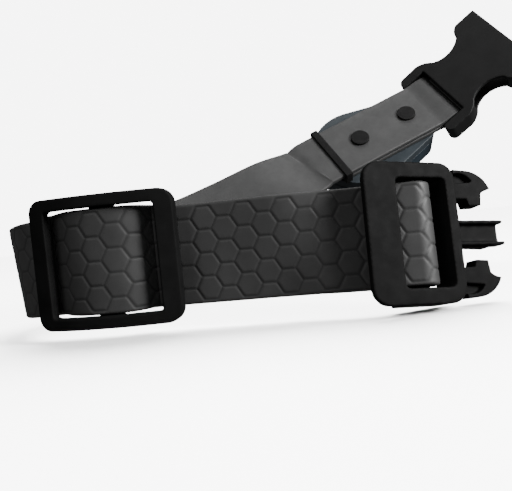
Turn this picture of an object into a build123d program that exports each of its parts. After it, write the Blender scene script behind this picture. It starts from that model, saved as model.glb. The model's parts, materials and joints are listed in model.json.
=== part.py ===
from build123d import *
import math
import os

# Avalanche transceiver on an adjustable rubber collar strap, open at its side-release buckle.
# Millimetres.  +Z up, X along the straight front run of the strap, Y from the front run to the back run.
# The solids are laid out in a design frame and moved at the end, so that the origin is the middle of
# the bottom of the whole object's box.

# ---- driving dimensions ------------------------------------------------------------------------------
STRAP_W = 25.0            # width of the strap
STRAP_T = 2.2             # thickness of one layer
STRAP_Z = 17.0            # height of the strap's middle line in the front run
BODY_GAP = 0.3            # clearance between pieces that move past each other
SLOT_W = 26.2             # clear height of every buckle window

SLIDER_X = -35.6          # middle of the slider
SLIDER_L = 37.0           # slider along the strap
SLIDER_H = 32.5           # slider across the strap
SLIDER_RAISE = 0.6        # how far the slider and the strap over its bar ride above the strap's line
SLIDER_WIN_L = 28.0
SLIDER_WIN_H = 26.4
SLIDER_R = 55.0           # radius of the arched front of the slider
SLIDER_T = 3.0            # thickness of the slider's frame
SLIDER_BAR_Y = -3.4       # back of the slider's bar, clear of the strap that feeds through behind it
SLIDER_BAR_T = 2.4
ARCH_RISE = (-13.6, 11.6) # ends of the rise of the strap over the bar, from the slider's middle
ARCH_FLAT = 1.8           # its flat ends

PLUG_X = 39.8             # axis of the bar in the plug half
PLUG_TILT = 25.0          # how far the plug half hangs back from the strap, degrees
PLUG_LEAN = -12.0         # how far the plug half leans, with the twist of the strap, degrees
TWIST_X = (4.0, 24.0)     # stretch of the front run that takes the twist
PLUG_H = 34.0
PLUG_BAR_R = 1.4
PLUG_RAIL_OUT = -15.0     # outer edge of the plug's free rail, from the bar's axis
PLUG_WIN = (-6.6, 6.5)    # window, from the bar's axis
PLUG_BASE = 9.3           # end of the rail that carries the prongs
PLUG_Y = (-4.0, 5.0)      # front and back of the plug frame, from the bar's axis
PRONG_D = 4.2             # depth of prongs and guide
PRONG_ROOT_Z = 10.0       # height of each prong's flexing root above and below the guide

# The strap's middle line from the slider round the turn to the pad: x, y, z, then the lean of its width.
ROUTE = [
    (-48.0, 0.0, 17.0, 0.00, 0.00),
    (-58.0, 1.0, 16.6, -0.04, 0.00),
    (-65.2, 7.2, 16.0, -0.09, 0.00),
    (-69.4, 16.1, 15.7, -0.12, 0.00),
    (-70.0, 26.1, 15.8, -0.17, -0.02),
    (-64.2, 44.8, 17.2, -0.28, 0.03),
    (-52.8, 61.1, 19.4, -0.40, 0.13),
    (-38.5, 74.5, 23.1, -0.52, 0.26),
    (-21.8, 83.0, 29.9, -0.60, 0.40),
    (-4.8, 90.7, 37.4, -0.65, 0.52),
    (7.9, 98.9, 41.7, -0.70, 0.62),
]
ROUTE_STEPS = 3           # loft sections from one point of the route to the next
TURN_POINTS = 5           # points of the route that belong to the turn, the rest is the back run

# The pad is the straight end of the back run, with the case on its outer side.
PAD = Plane(origin=(32.0, 108.3, 53.3), x_dir=(0.872, 0.31, 0.378), z_dir=(0.052, -0.825, 0.556))
PAD_START = -22.0         # the pad's stretch along the strap, from the first fixing
PAD_END = 31.0
FIXING_PITCH = 23.0
FIXING_HEAD_R = 3.75
FIXING_SHANK_R = 1.6
KEEPER_X = -14.0          # middle of the keeper that clamps the doubled strap's end
KEEPER_W = 3.0

CASE_R = 19.5             # round end of the case, about the first fixing
CASE_TAIL_X = 25.2        # two corners of the narrow end, each side of the middle
CASE_TAIL_Y = 7.4
CASE_TAIL_R = 5.8
CASE_TOP = -3.3           # face of the case against the doubled strap
CASE_SPLIT = -7.4
CASE_BOTTOM = -16.0
CASE_WALL = 1.6
SCREW_RING = 16.4
SCREW_PLACES = [(SCREW_RING, 75.0), (SCREW_RING, 180.0), (SCREW_RING, -75.0), (28.0, 0.0)]
DOOR_R = 13.5
DOOR_T = 2.7
CELL_R = 12.25
CELL_T = 5.0
BUTTON_R = 3.0
BUTTON_Z = -11.7
BUTTON_X = 10.0

SOCKET_BAR_X = 39.5       # axis of the socket's bar, along the pad
SOCKET_BAR_Z = -STRAP_T / 2
SOCKET_BAR_R = 1.2
SOCKET_TILT = 27.0        # turn of the socket from the pad towards the wearer, degrees
SOCKET_THROAT = 4.1       # inner wall beside the wrapped strap, from the bar's axis
SOCKET_MOUTH = 35.4       # from the bar's axis to the mouth
SOCKET_D = 9.0            # depth of the socket
SOCKET_WALL = 1.6

nodes = {}


# ---- small helpers -----------------------------------------------------------------------------------
def block(x0, x1, y0, y1, z0, z1):
    """A box between two corners."""
    return Pos((x0 + x1) / 2, (y0 + y1) / 2, (z0 + z1) / 2) * Box(x1 - x0, y1 - y0, z1 - z0)


def disc(x, y, z0, z1, radius):
    """A cylinder along Z between two heights."""
    return Pos(x, y, (z0 + z1) / 2) * Cylinder(radius, z1 - z0)


def prism(sketch, z0, z1):
    """A sketch in XY raised between two heights."""
    return Pos(0, 0, z0) * extrude(sketch, z1 - z0)


def strip_face(points, thickness):
    """A face one thickness deep along Y beside a line of points."""
    beside = [point + Vector(0, thickness) for point in points]
    return make_face(Polyline(*points, *reversed(beside), close=True))


def add(node, *shapes):
    """Collects a node's solids."""
    nodes[node] = [solid for shape in shapes for solid in shape.solids()]


# ---- the strap ---------------------------------------------------------------------------------------
def catmull_rom(a, b, c, d, t):
    """Point between b and c of the smooth curve through four values."""
    return 0.5 * (2 * b + (c - a) * t + (2 * a - 5 * b + 4 * c - d) * t**2 + (3 * b - a - 3 * c + d) * t**3)


def route_section(point, along, lean):
    """The strap's cross-section at a point, square to its run."""
    lean = Vector(lean[0], lean[1], 1.0)
    across = (lean - along * lean.dot(along)).normalized() * (STRAP_W / 2)
    inward = along.cross(across).normalized() * (STRAP_T / 2)
    near, far = point + inward, point - inward
    return Wire.make_polygon([near + across, near - across, far - across, far + across], close=True)


def route_sections():
    """Cross-sections from the slider to the start of the pad."""
    pad_start = PAD.from_local_coords(Vector(PAD_START, 0, 0))
    pad_lean = PAD.y_dir / PAD.y_dir.Z
    stations = [(-58.0 + 20.0, 0.0, 17.0, 0.0, 0.0)] + ROUTE
    stations += [(pad_start.X, pad_start.Y, pad_start.Z, pad_lean.X, pad_lean.Y)]
    beyond = pad_start + PAD.x_dir * 12.0
    stations += [(beyond.X, beyond.Y, beyond.Z, pad_lean.X, pad_lean.Y)]
    places = []
    for i in range(1, len(stations) - 2):
        for k in range(ROUTE_STEPS):
            spans = zip(*stations[i - 1 : i + 3])
            places.append([catmull_rom(*span, k / ROUTE_STEPS) for span in spans])
    places.append(stations[-2])
    wires = []
    for i, place in enumerate(places):
        point = Vector(*place[:3])
        if i == 0:
            along = Vector(-1, 0, 0)
        elif i == len(places) - 1:
            along = PAD.x_dir
        else:
            along = (Vector(*places[i + 1][:3]) - Vector(*places[i - 1][:3])).normalized()
        wires.append(route_section(point, along, place[3:]))
    return wires


def plug_lean():
    """Turn of the plug end about the strap's middle line."""
    return Pos(0, 0, STRAP_Z) * Rot(PLUG_LEAN, 0, 0) * Pos(0, 0, -STRAP_Z)


def twisted_layer(y0, y1):
    """The stretch of one layer that takes the strap's twist, between two depths."""
    start, end = TWIST_X
    half = STRAP_W / 2
    wires = []
    for step in range(6):
        t = step / 5
        angle = math.radians(PLUG_LEAN * t * t * (3 - 2 * t))
        corners = []
        for y, z in ((y0, -half), (y1, -half), (y1, half), (y0, half)):
            place_y = y * math.cos(angle) - z * math.sin(angle)
            place_z = y * math.sin(angle) + z * math.cos(angle)
            corners.append(Vector(start + (end - start) * t, place_y, STRAP_Z + place_z))
        wires.append(Wire.make_polygon(corners, close=True))
    return Solid.make_loft(wires, ruled=True)


def make_strap_runs():
    """Front run, turn and back run: one strip of rubber, in three solids that meet face to face."""
    half = STRAP_T / 2
    low, high = STRAP_Z - STRAP_W / 2, STRAP_Z + STRAP_W / 2
    lean = plug_lean()
    start, end = TWIST_X
    front = block(ROUTE[0][0], start, -half, half, low, high) + twisted_layer(-half, half)
    add("strap_front", front + lean * block(end, PLUG_X, -half, half, low, high))

    bar_y = half + BODY_GAP + PLUG_BAR_R
    inner = PLUG_BAR_R + BODY_GAP
    outer = inner + STRAP_T
    bend = disc(0, 0, low, high, outer) - disc(0, 0, low, high, inner)
    bend &= block(0, outer + 1, -outer - 1, outer + 1, low, high)
    facing = [Vector(0, inner), Vector(-3, inner), Vector(end - PLUG_X, half - bar_y)]
    layer = prism(strip_face(facing, STRAP_T), low, high)
    back = block(PLUG_X - 72.0, start, half, half + STRAP_T, low, high) + twisted_layer(half, half + STRAP_T)
    add("strap_return", back + lean * (Pos(PLUG_X, bar_y, 0) * (bend + layer)))

    wires = route_sections()
    split = (TURN_POINTS - 1) * ROUTE_STEPS + 1
    add("strap_turn", Solid.make_loft(wires[:split], ruled=True))
    add("strap_back", Solid.make_loft(wires[split - 1 :], ruled=True))


def fixing_holes(z0, z1):
    """Holes for the two fixings, in pad coordinates."""
    return disc(0, 0, z0, z1, FIXING_SHANK_R) + disc(FIXING_PITCH, 0, z0, z1, FIXING_SHANK_R)


def make_strap_pad():
    """The straight pad and the end that wraps the socket's bar and comes back under it."""
    half = STRAP_T / 2
    wide = STRAP_W / 2
    pad = block(PAD_START, PAD_END, -wide, wide, -half, half) - fixing_holes(-half, half)
    add("strap_pad", PAD * pad)

    bend_r = SOCKET_BAR_R + BODY_GAP
    shift = Pos(SOCKET_BAR_X, SOCKET_BAR_Z)
    flat = Line((PAD_END, half), (PAD_END, -3 * half))
    outside = make_hull([flat, *(shift * Circle(bend_r + STRAP_T)).edges()])
    nose = Line((PAD_END + 1.5, -half + 0.05), (PAD_END + 1.5, -half - 0.05))
    inside = make_hull([nose, *(shift * Circle(bend_r)).edges()])
    eye = Pos(0, wide, 0) * (Rot(90, 0, 0) * extrude(outside - inside, STRAP_W))
    under = block(KEEPER_X + KEEPER_W / 2, PAD_END, -wide, wide, -3 * half, -half)
    add("strap_wrap", PAD * (eye + (under - fixing_holes(-3 * half, -half))))


def make_keeper():
    """Moulded bar across the strap's inner face, with a leg over each edge down to the case."""
    half = STRAP_T / 2
    x0, x1 = KEEPER_X - KEEPER_W / 2, KEEPER_X + KEEPER_W / 2
    wide = STRAP_W / 2
    reach = wide + 1.2
    bar = block(x0, x1, -reach, reach, half, half + 0.9)
    foot = block(x0, x1, -reach, reach, CASE_TOP, -half)
    legs = block(x0, x1, wide, reach, -half, half) + block(x0, x1, -reach, -wide, -half, half)
    add("strap_keeper", PAD * (bar + foot + legs))


# ---- the slider --------------------------------------------------------------------------------------
def arched_band(length, front_y, thickness):
    """A band in XY whose front is an arc bulging towards -Y, centred on X = 0."""
    ring = Circle(SLIDER_R) - Circle(SLIDER_R - thickness)
    band = Pos(0, SLIDER_R) * ring & Pos(0, 6.0) * Rectangle(length, 12.0)
    return Pos(0, front_y) * band


def make_slider():
    """The slider's arched frame with its bar, and the strip of strap that runs over the bar."""
    under_rail = -STRAP_T / 2 - STRAP_T - 0.5
    sag = SLIDER_R - math.sqrt(SLIDER_R**2 - (SLIDER_L / 2) ** 2)
    front_y = under_rail - SLIDER_T - sag + 0.2
    body = Pos(0, 0, -SLIDER_H / 2) * extrude(arched_band(SLIDER_L, front_y, SLIDER_T), SLIDER_H)
    face = Rot(90, 0, 0) * extrude(RectangleRounded(SLIDER_L, SLIDER_H, 3.6), 20, both=True)
    window = Rot(90, 0, 0) * extrude(RectangleRounded(SLIDER_WIN_L, SLIDER_WIN_H, 1.0), 20, both=True)
    frame = (body & face) - window
    bar_front = SLIDER_BAR_Y - SLIDER_BAR_T
    slot = SLIDER_WIN_H / 2
    reach = slot + 1.6
    bar = block(-3.0, 3.0, bar_front, SLIDER_BAR_Y, -reach, reach)
    for low, high in ((-reach, -slot - 0.1), (slot + 0.1, reach)):
        bar += block(-3.0, 3.0, front_y + 1.0, SLIDER_BAR_Y, low, high)
    place = Pos(SLIDER_X, 0, STRAP_Z + SLIDER_RAISE)
    add("slider_frame", place * (frame + bar))

    low = -STRAP_T / 2 - 0.15
    high = bar_front - 0.25
    facing = [Vector(ARCH_RISE[0] - ARCH_FLAT, low)]
    for step in range(-6, 7):
        share = step / 6
        x = share * (ARCH_RISE[1] if share > 0 else -ARCH_RISE[0])
        facing.append(Vector(x, low + (high - low) * (1 - abs(share) ** 2.4)))
    facing.append(Vector(ARCH_RISE[1] + ARCH_FLAT, low))
    strip = extrude(strip_face(facing, -STRAP_T), STRAP_W)
    add("strap_arch", place * Pos(0, 0, -STRAP_W / 2) * strip)


# ---- the plug half of the buckle ---------------------------------------------------------------------
def plug_place():
    """From the plug's own frame, X along it, Y its depth and Z along its bar, to the design frame."""
    bar_y = STRAP_T / 2 + BODY_GAP + PLUG_BAR_R
    return plug_lean() * Pos(PLUG_X, bar_y, STRAP_Z) * Rot(0, 0, PLUG_TILT)


def prong_sketch():
    """Upper prong in X and Z: arm, outer barb and inner hook, about its flexing root."""
    z = PRONG_ROOT_Z
    with BuildSketch() as sketch:
        with BuildLine():
            Line((PLUG_BASE + 0.3, z - 1.6), (PLUG_BASE + 4.0, z - 1.6))
            Line((PLUG_BASE + 4.0, z - 1.6), (PLUG_BASE + 4.6, z - 3.4))
            Line((PLUG_BASE + 4.6, z - 3.4), (PLUG_BASE + 8.0, z - 3.2))
            Line((PLUG_BASE + 8.0, z - 3.2), (PLUG_BASE + 8.4, z - 0.2))
            ThreePointArc(
                (PLUG_BASE + 8.4, z - 0.2), (PLUG_BASE + 9.6, z + 0.6), (PLUG_BASE + 11.2, z + 1.0)
            )
            ThreePointArc(
                (PLUG_BASE + 11.2, z + 1.0), (PLUG_BASE + 9.0, z + 4.0), (PLUG_BASE + 4.4, z + 5.7)
            )
            Line((PLUG_BASE + 4.4, z + 5.7), (PLUG_BASE + 1.0, z + 5.9))
            Line((PLUG_BASE + 1.0, z + 5.9), (PLUG_BASE + 1.1, z + 4.7))
            ThreePointArc(
                (PLUG_BASE + 1.1, z + 4.7), (PLUG_BASE + 4.8, z + 4.2), (PLUG_BASE + 6.2, z + 2.7)
            )
            Line((PLUG_BASE + 6.2, z + 2.7), (PLUG_BASE + 0.3, z + 2.2))
            Line((PLUG_BASE + 0.3, z + 2.2), (PLUG_BASE + 0.3, z - 1.6))
        make_face()
    return sketch.sketch


def make_plug():
    """Plug frame with its bar and centre guide, and the two prongs."""
    tall = PLUG_H / 2
    front, back = PLUG_Y
    outline = Pos((PLUG_RAIL_OUT + PLUG_BASE) / 2, 0) * RectangleRounded(
        PLUG_BASE - PLUG_RAIL_OUT, PLUG_H, 4.2
    )
    window = Pos(sum(PLUG_WIN) / 2, 0) * RectangleRounded(PLUG_WIN[1] - PLUG_WIN[0], SLOT_W, 1.2)
    frame = Pos(0, back, 0) * (Rot(90, 0, 0) * extrude(outline - window, back - front))
    rail_back = block(PLUG_RAIL_OUT - 1, PLUG_WIN[0] + 0.2, -2.3, back + 1, -tall - 1, tall + 1)
    frame -= rail_back
    frame += Cylinder(PLUG_BAR_R, SLOT_W + 2.0)
    half = PRONG_D / 2
    root, tip = PLUG_BASE - 0.5, PLUG_BASE + 13.4
    guide = block(root, tip, -half, half, 2.2, 3.1) + block(root, tip, -half, half, -3.1, -2.2)
    guide += block(root, tip - 0.9, -0.8, 0.8, -3.1, 3.1)
    keel = Polyline((root, -3.0), (root + 3.5, -3.7), (root + 8.5, -3.9), (root + 12.5, -3.0), close=True)
    guide += Rot(90, 0, 0) * extrude(make_face(keel), 0.9, both=True)
    place = plug_place()
    add("plug_frame", place * (frame + guide))

    z = PRONG_ROOT_Z
    corners = [(1.0, z + 5.2), (4.8, z + 4.6), (6.6, z + 2.4), (0.6, z + 1.8)]
    web = make_face(Polyline(*((PLUG_BASE + x, height) for x, height in corners), close=True))
    upright = Rot(90, 0, 0) * (extrude(prong_sketch(), half, both=True) + extrude(web, 0.7, both=True))
    add("prong_upper", place * upright)
    add("prong_lower", place * (Rot(180, 0, 0) * upright))


# ---- the socket half of the buckle -------------------------------------------------------------------
def socket_place():
    """From the socket's own frame, X along it and Y along its bar, to the design frame."""
    return PAD.location * Pos(SOCKET_BAR_X, 0, SOCKET_BAR_Z) * Rot(0, -SOCKET_TILT, 0)


def socket_outline():
    """Ears beside the strap, a drawn-in waist with the release openings, and a wide mouth."""
    with BuildSketch() as sketch:
        with BuildLine():
            Line((SOCKET_THROAT, 0), (SOCKET_THROAT, SLOT_W / 2))
            Line((SOCKET_THROAT, SLOT_W / 2), (-6.0, SLOT_W / 2))
            ThreePointArc((-6.0, SLOT_W / 2), (-6.2, 16.0), (-3.5, 17.4))
            Line((-3.5, 17.4), (3.5, 17.4))
            ThreePointArc((3.5, 17.4), (7.4, 15.4), (9.4, 13.2))
            ThreePointArc((9.4, 13.2), (16.5, 11.3), (23.0, 14.6))
            ThreePointArc((23.0, 14.6), (24.4, 17.8), (26.4, 19.2))
            Line((26.4, 19.2), (SOCKET_MOUTH, 18.9))
            Line((SOCKET_MOUTH, 18.9), (SOCKET_MOUTH, 0))
            Line((SOCKET_MOUTH, 0), (SOCKET_THROAT, 0))
        make_face()
        mirror(about=Plane.XZ)
    return sketch.sketch


def make_socket():
    """Hollow socket with the bar that the strap wraps."""
    deep = SOCKET_D / 2
    body = extrude(socket_outline(), deep, both=True)
    inner = deep - SOCKET_WALL
    throat = block(8.0, SOCKET_MOUTH + 1, -15.8, 15.8, -inner, inner)
    body -= throat
    body += Rot(90, 0, 0) * Cylinder(SOCKET_BAR_R, SLOT_W + 2.0)
    add("socket_body", socket_place() * body)


# ---- the transceiver's case --------------------------------------------------------------------------
def case_outline(inset=0.0):
    """Outline of the case drawn in by an inset: a large round end tapering to a narrow one."""
    edges = [*Circle(CASE_R - inset).edges()]
    for y in (-CASE_TAIL_Y, CASE_TAIL_Y):
        edges += (Pos(CASE_TAIL_X, y) * Circle(CASE_TAIL_R - inset)).edges()
    return make_hull(edges)


def screw_points():
    """Middles of the four case screws."""
    return [(r * math.cos(math.radians(a)), r * math.sin(math.radians(a))) for r, a in SCREW_PLACES]


def button_place():
    """Frame of the side button: X out of the case wall, at the wall's outer face."""
    span = math.hypot(CASE_TAIL_X, CASE_TAIL_Y)
    slant = math.asin((CASE_R - CASE_TAIL_R) / span) - math.atan2(CASE_TAIL_Y, CASE_TAIL_X)
    y = -(CASE_R - BUTTON_X * math.sin(slant)) / math.cos(slant)
    return Pos(BUTTON_X, y, BUTTON_Z) * Rot(0, 0, math.degrees(slant) - 90.0)


def make_case_base():
    """Shell against the strap, with bosses for the fixings and a groove for the seal."""
    floor = CASE_TOP - CASE_WALL
    base = prism(case_outline(), CASE_SPLIT, CASE_TOP) - prism(case_outline(CASE_WALL), CASE_SPLIT, floor)
    posts = disc(0, 0, CASE_SPLIT + 0.5, floor, 3.25) + disc(FIXING_PITCH, 0, CASE_SPLIT + 0.5, floor, 3.25)
    for x, y in screw_points():
        posts += disc(x, y, CASE_SPLIT, floor, 1.7)
    base += posts & prism(case_outline(), CASE_SPLIT, CASE_TOP)
    base -= fixing_holes(-6.3, CASE_TOP)
    for x, y in screw_points():
        base -= disc(x, y, CASE_SPLIT, -4.4, 0.8)
    base -= prism(case_outline(0.4) - case_outline(1.1), CASE_SPLIT, CASE_SPLIT + 0.6)
    add("case_base", PAD * base)
    seal = prism(case_outline(0.4) - case_outline(1.1), CASE_SPLIT, CASE_SPLIT + 0.6)
    add("case_seal", PAD * seal)


def make_case_cover():
    """Outer shell with the battery opening, the button hole and the lamp window."""
    cover = prism(case_outline(), CASE_BOTTOM, CASE_SPLIT)
    cover = chamfer(cover.faces().sort_by(Axis.Z)[0].outer_wire().edges(), 1.4)
    cover -= prism(case_outline(CASE_WALL), CASE_BOTTOM + CASE_WALL, CASE_SPLIT)
    posts = None
    for x, y in screw_points():
        post = disc(x, y, CASE_BOTTOM + CASE_WALL, CASE_SPLIT, 1.7)
        posts = post if posts is None else posts + post
    cover += posts & prism(case_outline(0.2), CASE_BOTTOM, CASE_SPLIT)
    cover -= disc(0, 0, CASE_BOTTOM - 1, CASE_BOTTOM + CASE_WALL + 0.1, DOOR_R + BODY_GAP)
    cover -= button_place() * (Rot(0, 90, 0) * Cylinder(BUTTON_R + BODY_GAP, 8.0))
    cover -= disc(20.8, 6.8, CASE_BOTTOM - 1, CASE_BOTTOM + 3, 1.7)
    for x, y in screw_points():
        cover -= disc(x, y, CASE_BOTTOM - 1, CASE_SPLIT + 1, 0.8)
        cover -= disc(x, y, CASE_BOTTOM - 1, CASE_BOTTOM + 1.0, 1.45)
    add("case_cover", PAD * cover)


def make_fasteners():
    """Two fixings through the strap, and four screws that close the case."""
    half = STRAP_T / 2
    fixings = []
    for x in (0.0, FIXING_PITCH):
        head = disc(x, 0, half, half + 0.9, FIXING_HEAD_R)
        fixings.append(PAD * (head + disc(x, 0, -6.2, half, FIXING_SHANK_R - 0.02)))
    add("strap_fixings", *fixings)
    screws = []
    for x, y in screw_points():
        head = disc(x, y, CASE_BOTTOM + 0.05, CASE_BOTTOM + 1.0, 1.4)
        head -= Pos(x, y, CASE_BOTTOM) * Box(2.0, 0.5, 0.9)
        screws.append(PAD * (head + disc(x, y, CASE_BOTTOM + 1.0, -4.5, 0.75)))
    add("case_screws", *screws)


def make_electronics():
    """Board with its parts, three crossed aerials, the cell and its contact."""
    board_hull = make_hull([*Circle(14.2).edges(), *(Pos(18.8, 0) * Circle(7.0)).edges()])
    board_z = CASE_SPLIT + 0.5
    board = prism(board_hull, board_z - 1.0, board_z)
    add("circuit_board", PAD * board)
    add("buzzer", PAD * disc(-9.0, 0, board_z, board_z + 1.5, 4.5))
    chips = [block(3.4, 9.0, 4.0, 9.6, board_z, board_z + 0.9)]
    chips.append(block(9.0, 13.0, -8.0, -4.0, board_z, board_z + 0.9))
    add("radio_chips", PAD * chips[0], PAD * chips[1])
    cell_top = board_z - 1.0 - 0.8
    cell_low = cell_top - CELL_T
    add("battery_cell", PAD * disc(0, 0, cell_low, cell_top, CELL_R))
    spring = disc(0, 0, cell_top, cell_top + 0.2, 6.0) + disc(0, 0, cell_top + 0.2, cell_top + 0.8, 2.0)
    add("battery_spring", PAD * spring)
    coil = disc(0, 0, -11.5, -9.7, 14.5) - disc(0, 0, -12, -9, 12.8)
    coil -= button_place() * block(-8.0, 3.0, -4.5, 4.5, -4.0, 4.0)
    add("aerial_coil_z", PAD * coil)
    rod_y = Pos(17.0, 0, -12.0) * Rot(90, 0, 0)
    add("aerial_rod_y", PAD * (rod_y * Cylinder(1.2, 16.0)))
    winding_y = Cylinder(1.9, 10.0) - Cylinder(1.2, 10.0)
    add("aerial_coil_y", PAD * (rod_y * winding_y))
    rod_x = Pos(23.0, -3.4, -12.0) * Rot(0, 90, 0)
    add("aerial_rod_x", PAD * (rod_x * Cylinder(1.0, 7.0)))
    winding_x = Cylinder(1.7, 4.4) - Cylinder(1.0, 4.4)
    add("aerial_coil_x", PAD * (rod_x * winding_x))
    pipe = disc(20.8, 6.8, CASE_BOTTOM, board_z - 2.0, 1.65)
    add("lamp_window", PAD * pipe)
    add("signal_lamp", PAD * block(19.9, 21.7, 5.9, 7.7, board_z - 2.0, board_z - 1.0))


def make_door():
    """Battery door, a quarter-turn disc with a coin slot, and its sealing ring."""
    low = CASE_BOTTOM - 0.5
    door = disc(0, 0, low, low + DOOR_T, DOOR_R)
    door -= disc(0, 0, low + 1.2, low + 2.0, DOOR_R + 1) - disc(0, 0, low + 1.2, low + 2.0, DOOR_R - 1.0)
    door -= Pos(0, 0, low) * Box(16.0, 2.0, 2.2)
    add("battery_door", PAD * door)
    ring = disc(0, 0, low + 1.2, low + 2.0, DOOR_R) - disc(0, 0, low + 1.2, low + 2.0, DOOR_R - 1.0)
    add("door_seal", PAD * ring)


def make_button():
    """Side button, and the switch that it presses."""
    place = button_place()
    cap = Rot(0, 90, 0) * Cylinder(BUTTON_R, 3.2)
    add("power_button", PAD * (place * (Pos(-0.8, 0, 0) * cap)))
    switch = block(-5.4, -3.6, -2.0, 2.0, -1.6, 2.4)
    add("button_switch", PAD * (place * switch))


def main():
    make_strap_runs()
    make_strap_pad()
    make_keeper()
    make_slider()
    make_plug()
    make_socket()
    make_case_base()
    make_case_cover()
    make_fasteners()
    make_electronics()
    make_door()
    make_button()

    box = Compound([solid for solids in nodes.values() for solid in solids]).bounding_box()
    shift = Pos(-(box.min.X + box.max.X) / 2, -(box.min.Y + box.max.Y) / 2, -box.min.Z)
    os.makedirs("parts", exist_ok=True)
    for node, solids in nodes.items():
        moved = [shift * solid for solid in solids]
        export_step(moved[0] if len(moved) == 1 else Compound(moved), f"parts/{node}.step")
    report_joints(shift)


def report_joints(shift):
    """Prints each joint's place and axis, and the mounts, for the record."""
    plug = shift * plug_place()
    pad = shift * PAD.location
    socket = shift * socket_place()
    button = pad * button_place()
    frames = {
        "slider": (shift * Pos(SLIDER_X, 0, STRAP_Z + SLIDER_RAISE), "X"),
        "plug": (plug, "Z"),
        "prong_upper": (plug * Pos(PLUG_BASE + 0.3, 0, PRONG_ROOT_Z), "Y"),
        "prong_lower": (plug * Pos(PLUG_BASE + 0.3, 0, -PRONG_ROOT_Z), "Y"),
        "socket": (socket, "Y"),
        "socket_mouth": (socket * Pos(SOCKET_MOUTH, 0, 0), "X"),
        "door": (pad * Pos(0, 0, CASE_BOTTOM - 0.5), "Z"),
        "button": (button, "X"),
        "door_face": (pad * Pos(0, 8.0, CASE_BOTTOM - 0.5), "Z"),
        "plug_face": (plug * Pos(PLUG_BASE, 0, 0), "X"),
    }
    for name, (place, axis) in frames.items():
        plane = Plane(place)
        direction = {"X": plane.x_dir, "Y": plane.y_dir, "Z": plane.z_dir}[axis]
        at = [round(v / 1000, 6) for v in tuple(plane.origin)]
        print(name, at, axis, [round(v, 6) for v in tuple(direction)])


main()
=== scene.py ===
import json
import math

import bmesh
import bpy
import numpy as np
from mathutils import Matrix, Vector

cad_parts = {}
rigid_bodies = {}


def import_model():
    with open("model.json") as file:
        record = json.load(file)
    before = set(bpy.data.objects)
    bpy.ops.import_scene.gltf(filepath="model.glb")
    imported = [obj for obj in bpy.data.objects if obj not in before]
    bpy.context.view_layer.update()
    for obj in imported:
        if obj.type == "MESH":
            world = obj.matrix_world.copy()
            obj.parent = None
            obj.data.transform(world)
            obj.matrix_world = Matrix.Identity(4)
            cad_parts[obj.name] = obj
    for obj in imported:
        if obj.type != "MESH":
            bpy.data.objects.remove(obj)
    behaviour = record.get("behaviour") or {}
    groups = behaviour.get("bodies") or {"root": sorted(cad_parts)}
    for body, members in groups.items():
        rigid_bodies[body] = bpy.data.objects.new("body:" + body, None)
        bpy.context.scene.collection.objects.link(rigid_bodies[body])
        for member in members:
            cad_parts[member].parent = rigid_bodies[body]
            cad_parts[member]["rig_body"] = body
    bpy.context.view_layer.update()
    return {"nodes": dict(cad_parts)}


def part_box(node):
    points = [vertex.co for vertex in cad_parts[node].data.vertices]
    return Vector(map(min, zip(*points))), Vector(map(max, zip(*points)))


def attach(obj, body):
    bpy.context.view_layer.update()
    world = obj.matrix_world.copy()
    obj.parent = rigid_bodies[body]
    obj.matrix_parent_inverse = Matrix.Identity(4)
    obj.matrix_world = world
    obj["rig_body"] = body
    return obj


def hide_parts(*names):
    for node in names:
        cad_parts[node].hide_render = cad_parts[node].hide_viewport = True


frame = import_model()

# ---- sizes, in millimetres in the design frame of the part -------------------------------------------
MM = 0.001
STRAP_W = 25.0
STRAP_T = 2.2
STRAP_Z = 17.0
EDGE_R = 0.7                    # rounding of the strap's edges
STEP = 0.3                      # between stations along a strap
FRONT_START = -48.0             # front run, from the turn to the plug's bar
LEAD = 10.0                     # straight stretch that steers it into the turn
PLUG_X = 39.8
PLUG_LEAN = math.radians(-12.0)  # the strap's twist at the plug
TWIST_X = (4.0, 24.0)
LOOP_Y = 2.8                    # axis of the plug's bar, behind the front run
LOOP_R = 2.8                    # radius of the strap's middle line round that bar
RETURN_END = -32.2              # free end of the layer behind the front run
RETURN_SPREAD = (24.5, 12.5)    # where that layer starts to leave the run, and over what length
SOCKET_BAR_X = 39.5
SOCKET_LOOP_R = 2.6
PAD_START = -22.0
PAD_LEAD = 12.0                 # straight stretch that steers the back run into the pad
PAD_SPREAD = (31.0, 8.5)        # the same for the pad's two layers, which part for the socket's bar
PAD_PART = 1.5                  # how far each layer moves there
WRAP_END = -12.5
SLIDER_X = -35.6
SLIDER_RAISE = 0.6
ARCH_RISE = (-13.6, 11.6)       # the strip over the slider's bar
ARCH_FLAT = 1.8
ARCH_LOW = -1.25                # inner side of the strip at its ends and at its crown
ARCH_HIGH = -6.3
ARCH_POWER = 2.4                # fullness of its curve
ARCH_FRONT = -8.25              # front of the part's own strip, which places the part
ARCH_WIDEN = 0.036              # share by which the strip is wider between its ends

# The same route as the part's: x, y, z and the lean of the strap's width.
ROUTE = [
    (-48.0, 0.0, 17.0, 0.00, 0.00),
    (-58.0, 1.0, 16.6, -0.04, 0.00),
    (-65.2, 7.2, 16.0, -0.09, 0.00),
    (-69.4, 16.1, 15.7, -0.12, 0.00),
    (-70.0, 26.1, 15.8, -0.17, -0.02),
    (-64.2, 44.8, 17.2, -0.28, 0.03),
    (-52.8, 61.1, 19.4, -0.40, 0.13),
    (-38.5, 74.5, 23.1, -0.52, 0.26),
    (-21.8, 83.0, 29.9, -0.60, 0.40),
    (-4.8, 90.7, 37.4, -0.65, 0.52),
    (7.9, 98.9, 41.7, -0.70, 0.62),
]
PAD_ORIGIN = Vector((32.0, 108.3, 53.3))
PAD_Z = Vector((0.052, -0.825, 0.556)).normalized()
PAD_X = Vector((0.872, 0.31, 0.378))
PAD_X = (PAD_X - PAD_Z * PAD_X.dot(PAD_Z)).normalized()
PAD_Y = PAD_Z.cross(PAD_X)

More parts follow.
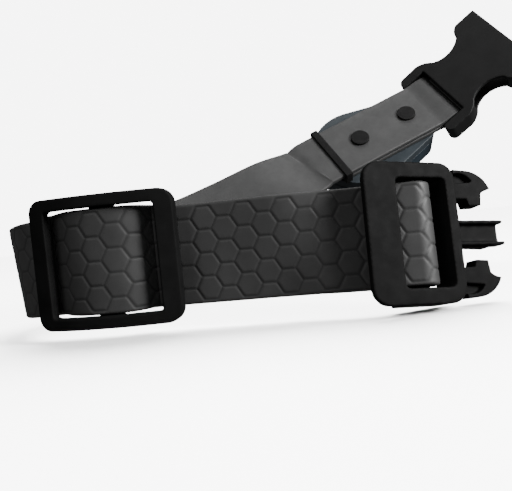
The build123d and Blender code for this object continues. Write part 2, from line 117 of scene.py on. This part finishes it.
# The relief of hexagons on the strap's outer side.
HEX_FLATS = 5.75
HEX_COLUMN = HEX_FLATS * math.sqrt(3) / 2
HEX_COLUMN_X = -11.5            # middle of one column in the front run
ARCH_COLUMN = 3.4               # the same for the strip over the slider's bar, from its right end
PATTERN_HALF = 2 * HEX_FLATS    # the pattern is four hexagons wide
GROOVE_DEPTH = 0.2
GROOVE_WIDTH = 0.25
FACE_STEPS = 84                 # divisions across the outer side, fine enough for the grooves

# A strap's ends: over END_TAPER each side comes in by END_THINNING.
END_TAPER = 0.9
END_THINNING = 0.5
WIDEN_REACH = 9.0               # from the ends of the strip over the bar to its full width

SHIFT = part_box("strap_arch")[0] / MM - Vector(
    (SLIDER_X + ARCH_RISE[0] - ARCH_FLAT, ARCH_FRONT, STRAP_Z + SLIDER_RAISE - STRAP_W / 2)
)


# ---- materials ---------------------------------------------------------------------------------------
class Shader:
    """A material under construction: nodes by short name, wired to one Principled shader."""

    def __init__(self, name):
        self.material = bpy.data.materials.new(name)
        self.material.use_nodes = True
        self.tree = self.material.node_tree
        self.surface = self.tree.nodes["Principled BSDF"]
        self.place = self.tree.nodes.new("ShaderNodeTexCoord").outputs["Object"]

    def node(self, kind, **settings):
        made = self.tree.nodes.new(kind)
        for key, value in settings.items():
            setattr(made, key, value)
        return made

    def link(self, out, into):
        self.tree.links.new(out, into)

    def noise(self, scale, detail=3.0, roughness=0.55):
        made = self.node("ShaderNodeTexNoise")
        made.inputs["Scale"].default_value = scale
        made.inputs["Detail"].default_value = detail
        made.inputs["Roughness"].default_value = roughness
        self.link(self.place, made.inputs["Vector"])
        return made.outputs["Fac"]

    def ramp(self, value, low, high, start=0.35, end=0.65):
        made = self.node("ShaderNodeValToRGB")
        made.color_ramp.elements[0].position = start
        made.color_ramp.elements[1].position = end
        made.color_ramp.elements[0].color = low
        made.color_ramp.elements[1].color = high
        self.link(value, made.inputs["Fac"])
        return made.outputs["Color"]

    def span(self, value, low, high):
        made = self.node("ShaderNodeMapRange")
        made.inputs["From Min"].default_value = 0.3
        made.inputs["From Max"].default_value = 0.7
        made.inputs["To Min"].default_value = low
        made.inputs["To Max"].default_value = high
        self.link(value, made.inputs["Value"])
        return made.outputs["Result"]

    def bump(self, value, strength, distance, before=None):
        made = self.node("ShaderNodeBump")
        made.inputs["Strength"].default_value = strength
        made.inputs["Distance"].default_value = distance
        self.link(value, made.inputs["Height"])
        if before is not None:
            self.link(before, made.inputs["Normal"])
        return made.outputs["Normal"]


def grey(value):
    return (value, value, value, 1.0)


def shades(colour, low, high):
    """A darker and a lighter version of a colour."""
    return [tuple(min(1.0, c * share) for c in colour) + (1.0,) for share in (low, high)]


def moulded_material(name, base, rough, sheen, grain=2600.0, grain_depth=0.00003, tint=(1, 1, 1)):
    """Moulded plastic: faint cloudy colour, spark-eroded grain and a soft uneven gloss."""
    s = Shader(name)
    low, high = shades([base * c for c in tint], 0.82, 1.2)
    s.link(s.ramp(s.noise(160.0, 4.0), low, high), s.surface.inputs["Base Color"])
    s.link(s.span(s.noise(420.0, 5.0), *rough), s.surface.inputs["Roughness"])
    s.link(s.bump(s.noise(grain, 2.0, 0.4), 0.35, grain_depth), s.surface.inputs["Normal"])
    s.surface.inputs["Specular IOR Level"].default_value = sheen
    return s.material


def rubber_material(name, base):
    """Moulded rubber: matte, with fine grain and faint clouds, and painted shade darkening the grooves of
    the relief.
    """
    s = Shader(name)
    cloud = s.ramp(s.noise(90.0, 5.0, 0.6), grey(base * 0.85), grey(base * 1.15))
    relief = s.node("ShaderNodeAttribute", attribute_name="relief")
    mix = s.node("ShaderNodeMixRGB", blend_type="MULTIPLY")
    mix.inputs["Fac"].default_value = 1.0
    s.link(cloud, mix.inputs["Color1"])
    # painted shade: the colour is darkened down to 0.55 where the relief's grooves are deepest
    shade = s.ramp(relief.outputs["Fac"], grey(1.0), grey(0.55), 0.1, 0.9)
    s.link(shade, mix.inputs["Color2"])
    s.link(mix.outputs["Color"], s.surface.inputs["Base Color"])
    s.link(s.span(s.noise(300.0, 4.0), 0.52, 0.66), s.surface.inputs["Roughness"])
    coarse = s.bump(s.noise(700.0, 3.0), 0.12, 0.00006)
    s.link(s.bump(s.noise(3200.0, 2.0), 0.3, 0.00003, coarse), s.surface.inputs["Normal"])
    s.surface.inputs["Specular IOR Level"].default_value = 0.42
    return s.material


def metal_material(name, colour, rough):
    """Metal with fine wear in its colour, gloss and surface."""
    s = Shader(name)
    s.surface.inputs["Metallic"].default_value = 1.0
    s.link(s.ramp(s.noise(900.0, 6.0), *shades(colour, 0.85, 1.1)), s.surface.inputs["Base Color"])
    s.link(s.span(s.noise(1800.0, 4.0), rough * 0.75, rough * 1.3), s.surface.inputs["Roughness"])
    s.link(s.bump(s.noise(2700.0, 2.0), 0.2, 0.00002), s.surface.inputs["Normal"])
    return s.material


def winding_material(name):
    """Enamelled copper wire laid side by side."""
    s = Shader(name)
    s.surface.inputs["Metallic"].default_value = 0.8
    wave = s.node("ShaderNodeTexWave", wave_type="BANDS", bands_direction="DIAGONAL")
    wave.inputs["Scale"].default_value = 900.0
    wave.inputs["Distortion"].default_value = 0.4
    s.link(s.place, wave.inputs["Vector"])
    copper = s.ramp(wave.outputs["Fac"], (0.2, 0.07, 0.03, 1), (0.62, 0.27, 0.12, 1), 0.2, 0.8)
    s.link(copper, s.surface.inputs["Base Color"])
    s.link(s.bump(wave.outputs["Fac"], 0.6, 0.0001), s.surface.inputs["Normal"])
    s.link(s.span(s.noise(900.0), 0.3, 0.45), s.surface.inputs["Roughness"])
    return s.material


def board_material(name):
    """Green solder mask with lighter tracks."""
    s = Shader(name)
    brick = s.node("ShaderNodeTexBrick")
    brick.inputs["Scale"].default_value = 420.0
    brick.inputs["Color1"].default_value = (0.012, 0.075, 0.03, 1)
    brick.inputs["Color2"].default_value = (0.018, 0.1, 0.04, 1)
    brick.inputs["Mortar"].default_value = (0.05, 0.2, 0.08, 1)
    s.link(s.place, brick.inputs["Vector"])
    s.link(brick.outputs["Color"], s.surface.inputs["Base Color"])
    s.link(s.span(s.noise(500.0), 0.22, 0.36), s.surface.inputs["Roughness"])
    return s.material


def lens_material(name):
    """Tinted clear plastic with slight inner haze."""
    s = Shader(name)
    haze = s.ramp(s.noise(700.0), (0.55, 0.08, 0.05, 1), (0.75, 0.14, 0.08, 1))
    s.link(haze, s.surface.inputs["Base Color"])
    s.link(s.span(s.noise(900.0), 0.08, 0.18), s.surface.inputs["Roughness"])
    s.surface.inputs["Transmission Weight"].default_value = 0.5
    return s.material


RUBBER = rubber_material("rubber_strap", 0.034)
BLACK = moulded_material("black_plastic", 0.008, (0.5, 0.62), 0.03)
DARK = moulded_material("dark_plastic", 0.007, (0.5, 0.62), 0.25)
GREY = moulded_material("grey_plastic", 0.03, (0.5, 0.62), 0.3, 2000.0, tint=(0.78, 1.0, 1.18))
BLUE = moulded_material("blue_plastic", 0.02, (0.42, 0.55), 0.3, 2200.0, tint=(0.6, 1.0, 1.4))
FIXING = moulded_material("fixing_plastic", 0.0035, (0.6, 0.72), 0.15)
SEAL = moulded_material("seal_rubber", 0.02, (0.6, 0.75), 0.4, 1800.0)
BUTTON = moulded_material("button_rubber", 0.022, (0.55, 0.7), 0.4, 2000.0)
STEEL = metal_material("bright_steel", (0.62, 0.62, 0.64), 0.28)
SPRING = metal_material("spring_brass", (0.72, 0.55, 0.3), 0.3)
COPPER = winding_material("copper_winding")
FERRITE = moulded_material("ferrite", 0.03, (0.55, 0.7), 0.4, 1500.0)
BOARD = board_material("circuit_board_mask")
LENS = lens_material("lamp_lens")


# ---- the strap's line --------------------------------------------------------------------------------
def smooth(t):
    """An even rise from 0 to 1."""
    t = np.clip(t, 0.0, 1.0)
    return t * t * (3.0 - 2.0 * t)


def half_turn(radius):
    """Points of a strap's middle line round a bar at the origin, from above it to below it."""
    turn = np.linspace(math.pi / 2, -math.pi / 2, 31)
    return np.column_stack([radius * np.cos(turn), radius * np.sin(turn)])


def lane(points, across):
    """Stations of a line in one plane: points and the same width direction for each."""
    points = np.array(points, float)
    return np.hstack([points, np.tile(across, (len(points), 1))])


def front_line():
    """Return layer, loop round the plug's bar and front run, from the free end to the slider."""
    start, length = RETURN_SPREAD
    xs = np.arange(RETURN_END, PLUG_X, STEP)
    back = np.column_stack([xs, STRAP_T + (LOOP_Y + LOOP_R - STRAP_T) * smooth((xs - start) / length)])
    loop = (PLUG_X, LOOP_Y) + half_turn(LOOP_R)
    xs = np.arange(PLUG_X - STEP, FRONT_START - 0.01, -STEP)
    x, y = np.vstack([back, loop, np.column_stack([xs, np.zeros(len(xs))])]).T
    twist = PLUG_LEAN * smooth((x - TWIST_X[0]) / (TWIST_X[1] - TWIST_X[0]))
    points = np.column_stack([x, y * np.cos(twist), STRAP_Z + y * np.sin(twist)])
    return np.hstack([points, np.column_stack([np.zeros(len(x)), -np.sin(twist), np.cos(twist)])])


def catmull_rom(a, b, c, d, t):
    """A point of the smooth curve from b to c."""
    return 0.5 * (2 * b + (c - a) * t + (2 * a - 5 * b + 4 * c - d) * t**2 + (3 * b - a - 3 * c + d) * t**3)


def pad_point(x, z):
    """A point of the pad's own plane, along the pad and out of it."""
    return PAD_ORIGIN + PAD_X * x + PAD_Z * z


def turn_line():
    """The turn and the back run, as far as the pad."""
    lean = PAD_Y / PAD_Y.z
    before = (FRONT_START + LEAD, 0.0, STRAP_Z, 0.0, 0.0)
    tail = [(*pad_point(x, 0), lean.x, lean.y) for x in (PAD_START, PAD_START + PAD_LEAD)]
    stations = np.array([before] + ROUTE + tail)
    run = []
    for i in range(1, len(stations) - 2):
        steps = max(6, round(np.linalg.norm(stations[i + 1, :3] - stations[i, :3]) / STEP))
        for t in np.arange(steps) / steps:
            run.append(catmull_rom(*stations[i - 1 : i + 3], t))
    run = np.array(run)
    return np.column_stack([run, np.ones(len(run))])


def pad_line():
    """The pad, the loop round the socket's bar and the layer that comes back under it."""
    start, length = PAD_SPREAD
    xs = np.arange(PAD_START, SOCKET_BAR_X, STEP)
    top = [pad_point(x, PAD_PART * smooth((x - start) / length)) for x in xs]
    loop = [pad_point(SOCKET_BAR_X + x, z - STRAP_T / 2) for x, z in half_turn(SOCKET_LOOP_R)[1:]]
    xs = np.arange(SOCKET_BAR_X - STEP, WRAP_END, -STEP)
    under = [pad_point(x, -STRAP_T - PAD_PART * smooth((x - start) / length)) for x in xs]
    return lane(top + loop + under, PAD_Y)


def arch_line():
    """The strip over the slider's bar, from its right end to its left end."""
    xs = np.arange(ARCH_RISE[0] - ARCH_FLAT, ARCH_RISE[1] + ARCH_FLAT + 0.01, STEP)[::-1]
    reach = np.where(xs > 0, ARCH_RISE[1], -ARCH_RISE[0])
    rise = np.clip(1.0 - np.abs(xs / reach) ** ARCH_POWER, 0.0, 1.0)
    ys = ARCH_LOW - STRAP_T / 2 + (ARCH_HIGH - ARCH_LOW) * rise
    return lane([(SLIDER_X + x, y, STRAP_Z + SLIDER_RAISE) for x, y in zip(xs, ys)], (0, 0, 1))


def hexagon_edge(u, v):
    """Distance from a point of the flat strap to the nearest edge of the hexagons."""
    best = np.full(u.shape, 1e9)
    second = np.full(u.shape, 1e9)
    column = np.round(u / HEX_COLUMN)
    for step in (-1, 0, 1):
        c = column + step
        lift = np.where(np.mod(c, 2) == 0, HEX_FLATS / 2, 0.0)
        row = np.round((v - lift) / HEX_FLATS)
        for up in (-1, 0, 1):
            centre_v = (row + up) * HEX_FLATS + lift
            d = np.hypot(u - c * HEX_COLUMN, v - centre_v)
            second = np.where(d < best, best, np.minimum(second, d))
            best = np.minimum(best, d)
    return (second**2 - best**2) / (2 * HEX_FLATS)


def relief_depth(u, v):
    """Share of the full groove depth at a point of the outer side."""
    inside = np.clip(v, -PATTERN_HALF, PATTERN_HALF)
    return np.exp(-(((hexagon_edge(u, inside) + np.abs(v - inside)) / GROOVE_WIDTH) ** 2))


def cross_section():
    """Ring of the strap's section: across it, out of it, and 1 where it carries the relief."""
    flat, top = STRAP_W / 2 - EDGE_R, STRAP_T / 2
    face = [(v, top, 1.0) for v in np.arange(-flat, flat + 0.01, 2 * flat / FACE_STEPS)]
    back = [(v, -top, 0.0) for v in np.linspace(flat, -flat, 10)]
    corner = [(EDGE_R * math.cos(a), EDGE_R * math.sin(a)) for a in map(math.radians, (65, 40, 15))]
    upper = [(flat + c, top - EDGE_R + s, 0.0) for c, s in corner]
    lower = [(v, -z, 0.0) for v, z, _ in reversed(upper)]
    mirrored = [(-v, z, 0.0) for v, z, _ in reversed(upper + lower)]
    return np.array(face + upper + lower + back + mirrored)


def unit(vectors):
    return vectors / np.linalg.norm(vectors, axis=1, keepdims=True)


def path_length(points):
    """Distance along a line from its start to each of its points."""
    return np.concatenate([[0.0], np.cumsum(np.linalg.norm(np.diff(points, axis=0), axis=1))])


def tube_faces(count, size):
    """Faces of a closed tube of rings: count rings of size points, and a cap at each end."""
    i, j = np.meshgrid(np.arange(count - 1), np.arange(size), indexing="ij")
    k = (j + 1) % size
    quads = np.stack([i * size + j, (i + 1) * size + j, (i + 1) * size + k, i * size + k], axis=-1)
    last = (count - 1) * size
    caps = [list(range(size)), list(range(last, last + size))[::-1]]
    return quads.reshape(-1, 4).tolist() + caps


def strap_mesh(name, stations, column_offset, widen=0.0):
    """A strap along stations, with the relief on its outer side and closed, thinned ends."""
    points, lean = stations[:, :3], stations[:, 3:6]
    along = unit(np.gradient(points, axis=0))
    across = unit(lean - along * np.sum(lean * along, axis=1, keepdims=True))
    out = np.cross(across, along)
    u = path_length(points) + column_offset
    from_end = np.minimum(u - u[0], u[-1] - u)
    ring = cross_section()
    uu, vv = np.meshgrid(u, ring[:, 0], indexing="ij")
    depth = relief_depth(uu, vv) * ring[:, 2]
    thinning = END_THINNING * (1 - smooth(from_end / END_TAPER)[:, None])
    lift = ring[:, 1] - depth * GROOVE_DEPTH - np.sign(ring[:, 1]) * thinning
    spread = vv * (1.0 + widen * smooth(from_end / WIDEN_REACH)[:, None])
    place = points[:, None] + across[:, None] * spread[..., None] + out[:, None] * lift[..., None]
    mesh = bpy.data.meshes.new(name)
    mesh.from_pydata(((place.reshape(-1, 3) + np.array(SHIFT)) * MM).tolist(), [], tube_faces(*vv.shape))
    face_outwards(mesh)
    # the groove depth, kept for the rubber material's painted shade in the grooves
    relief = mesh.attributes.new("relief", "FLOAT", "POINT")
    relief.data.foreach_set("value", depth.ravel().astype(np.float32))
    return finish_piece(name, mesh, RUBBER)


# ---- pieces ------------------------------------------------------------------------------------------
def face_outwards(mesh):
    """Turns a closed mesh's faces over if they look inwards."""
    shape = bmesh.new()
    shape.from_mesh(mesh)
    if shape.calc_volume(signed=True) < 0:
        bmesh.ops.reverse_faces(shape, faces=shape.faces)
        shape.to_mesh(mesh)
    shape.free()


def finish_piece(name, mesh, material):
    mesh.materials.clear()
    mesh.materials.append(material)
    mesh.update()
    for polygon in mesh.polygons:
        polygon.use_smooth = True
    made = bpy.data.objects.new(name, mesh)
    bpy.context.scene.collection.objects.link(made)
    return made


def applied(source, name, material):
    """A new piece with a source object's modifiers made real, in place of the source."""
    graph = bpy.context.evaluated_depsgraph_get()
    mesh = bpy.data.meshes.new_from_object(source.evaluated_get(graph))
    made = finish_piece(name, mesh, material)
    bpy.data.objects.remove(source)
    return made


def moulding(node, name, material, voxel=0.28, rounds=6):
    """A CAD node's shape as a moulding with softened edges, in the node's place."""
    cad = frame["nodes"][node]
    copy = bpy.data.objects.new(name + "_source", cad.data.copy())
    bpy.context.scene.collection.objects.link(copy)
    remesh = copy.modifiers.new("remesh", "REMESH")
    remesh.mode = "VOXEL"
    remesh.voxel_size = voxel * MM
    soften = copy.modifiers.new("soften", "SMOOTH")
    soften.factor = 0.5
    soften.iterations = rounds
    made = applied(copy, name, material)
    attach(made, cad["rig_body"])
    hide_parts(node)
    return made


def paint(material, *nodes):
    """A CAD node keeps its shape and takes a material."""
    for node in nodes:
        cad = frame["nodes"][node]
        for held in cad.material_slots:
            held.material = material


def make_strap():
    front = front_line()
    column_at_end = (HEX_COLUMN_X - FRONT_START) % (2 * HEX_COLUMN)
    run = strap_mesh("strap_front_run", front, column_at_end - path_length(front[:, :3])[-1])
    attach(run, "root")
    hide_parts("strap_front", "strap_return")
    rear = strap_mesh("strap_back_run", np.vstack([turn_line(), pad_line()]), column_at_end)
    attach(rear, "root")
    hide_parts("strap_turn", "strap_back", "strap_pad", "strap_wrap")
    arch = strap_mesh("strap_over_bar", arch_line(), ARCH_COLUMN, ARCH_WIDEN)
    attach(arch, "slider")
    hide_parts("strap_arch")


def make_plastics():
    moulding("slider_frame", "slider_frame_moulding", BLACK)
    moulding("plug_frame", "plug_frame_moulding", BLACK)
    moulding("prong_upper", "prong_upper_moulding", BLACK, 0.2, 5)
    moulding("prong_lower", "prong_lower_moulding", BLACK, 0.2, 5)
    moulding("socket_body", "socket_moulding", DARK, 0.3, 6)
    moulding("strap_keeper", "keeper_moulding", FIXING, 0.2, 3)
    moulding("strap_fixings", "fixing_mouldings", FIXING, 0.16, 4)
    moulding("case_base", "case_base_moulding", GREY, 0.28, 3)
    moulding("case_cover", "case_cover_moulding", BLUE, 0.28, 5)
    moulding("battery_door", "battery_door_moulding", GREY, 0.22, 3)
    moulding("power_button", "power_button_moulding", BUTTON, 0.14, 5)


def paint_inside():
    paint(SEAL, "case_seal", "door_seal")
    paint(STEEL, "case_screws", "battery_cell", "buzzer")
    paint(SPRING, "battery_spring")
    paint(COPPER, "aerial_coil_x", "aerial_coil_y", "aerial_coil_z")
    paint(FERRITE, "aerial_rod_x", "aerial_rod_y")
    paint(BOARD, "circuit_board")
    paint(DARK, "radio_chips", "button_switch")
    paint(LENS, "lamp_window", "signal_lamp")


# ---- floor, light and camera -------------------------------------------------------------------------
FOCAL = 42.2                     # on a 36 mm wide sensor
EYE = Vector((23.2, -145.3, 22.5))
WHITE = 7.0                      # radiance of the surround, shown as white
YAW, PITCH, ROLL = (math.radians(a) for a in (-8.7, 1.9, 5.7))
FLOOR_REACH = 2.6                # metres, just past the surround
SURROUND_R = 2.5
FLOOR_GAP = 0.0002               # keeps the floor clear of the part's lowest points
AMBIENT = 0.12


def make_camera():
    data = bpy.data.cameras.new("camera")
    data.sensor_width = 36.0
    data.lens = FOCAL
    data.clip_start = 0.005
    camera = bpy.data.objects.new("camera", data)
    bpy.context.scene.collection.objects.link(camera)
    ahead = Vector((math.sin(YAW) * math.cos(PITCH), math.cos(YAW) * math.cos(PITCH), -math.sin(PITCH)))
    right = Vector((math.cos(YAW), -math.sin(YAW), 0.0))
    up = right.cross(ahead)
    across = right * math.cos(ROLL) - up * math.sin(ROLL)
    upward = right * math.sin(ROLL) + up * math.cos(ROLL)
    turn = Matrix((across, upward, -ahead)).transposed()
    camera.matrix_world = Matrix.Translation((EYE + SHIFT) * MM) @ turn.to_4x4()
    bpy.context.scene.camera = camera


def staged(name, mesh, shader):
    """A part of the studio: it shows to the camera and takes shadows, and lights nothing."""
    mesh.materials.append(shader.material)
    made = bpy.data.objects.new(name, mesh)
    made.visible_diffuse = False
    made.visible_glossy = False
    made.visible_transmission = False
    bpy.context.scene.collection.objects.link(made)
    return made


def make_floor():
    mesh = bpy.data.meshes.new("floor")
    corners = [(FLOOR_REACH * x, FLOOR_REACH * y, 0) for x, y in ((-1, -1), (1, -1), (1, 1), (-1, 1))]
    mesh.from_pydata(corners, [], [(0, 1, 2, 3)])
    shader = Shader("floor_paper")
    shader.link(shader.ramp(shader.noise(3.0), grey(0.9), grey(0.93)), shader.surface.inputs["Base Color"])
    shader.link(shader.span(shader.noise(12.0), 0.75, 0.9), shader.surface.inputs["Roughness"])
    shader.surface.inputs["Specular IOR Level"].default_value = 0.1
    floor = staged("floor", mesh, shader)
    floor.location.z = -FLOOR_GAP
    return floor


def make_surround():
    """A white dome round the set, which closes the view above the floor."""
    shape = bmesh.new()
    bmesh.ops.create_uvsphere(shape, u_segments=48, v_segments=24, radius=SURROUND_R)
    mesh = bpy.data.meshes.new("surround")
    shape.to_mesh(mesh)
    shape.free()
    shader = Shader("surround_white")
    shader.surface.inputs["Base Color"].default_value = (0, 0, 0, 1)
    shader.surface.inputs["Emission Color"].default_value = (1, 1, 1, 1)
    shader.surface.inputs["Emission Strength"].default_value = WHITE
    made = staged("surround", mesh, shader)
    made.visible_shadow = False


def soft_light(name, place, target, size, power):
    """A round area light, with places and sizes in metres."""
    data = bpy.data.lights.new(name, "AREA")
    data.shape = "DISK"
    data.size = size
    data.energy = power
    lamp = bpy.data.objects.new(name, data)
    lamp.location = place
    lamp.rotation_euler = (Vector(target) - Vector(place)).to_track_quat("-Z", "Y").to_euler()
    bpy.context.scene.collection.objects.link(lamp)


def sky_light(name, direction, strength, angle):
    """Light from everywhere round one direction, over an angle in degrees."""
    data = bpy.data.lights.new(name, "SUN")
    data.energy = strength
    data.angle = math.radians(angle)
    data.specular_factor = 0.25
    lamp = bpy.data.objects.new(name, data)
    lamp.rotation_euler = Vector(direction).to_track_quat("-Z", "Y").to_euler()
    bpy.context.scene.collection.objects.link(lamp)
    return lamp


def make_light(floor):
    world = bpy.data.worlds.new("studio")
    world.use_nodes = True
    world.node_tree.nodes["Background"].inputs["Color"].default_value = (1, 1, 1, 1)
    world.node_tree.nodes["Background"].inputs["Strength"].default_value = AMBIENT
    bpy.context.scene.world = world
    wash = sky_light("floor_wash", (0.0, -0.7, -1.0), 26.0, 60.0)
    only_floor = bpy.data.collections.new("floor_only")
    only_floor.objects.link(floor)
    wash.light_linking.receiver_collection = only_floor
    soft_light("overhead", (0.05, 0.08, 0.6), (0, 0, 0.03), 0.4, 1.6)
    soft_light("right", (0.5, -0.24, 0.26), (0.03, 0, 0.03), 0.25, 7.5)
    soft_light("front_left", (-0.35, -0.5, 0.3), (0, 0, 0.02), 0.4, 0.9)


make_camera()
STUDIO_FLOOR = make_floor()
make_surround()
make_light(STUDIO_FLOOR)
make_strap()
make_plastics()
paint_inside()
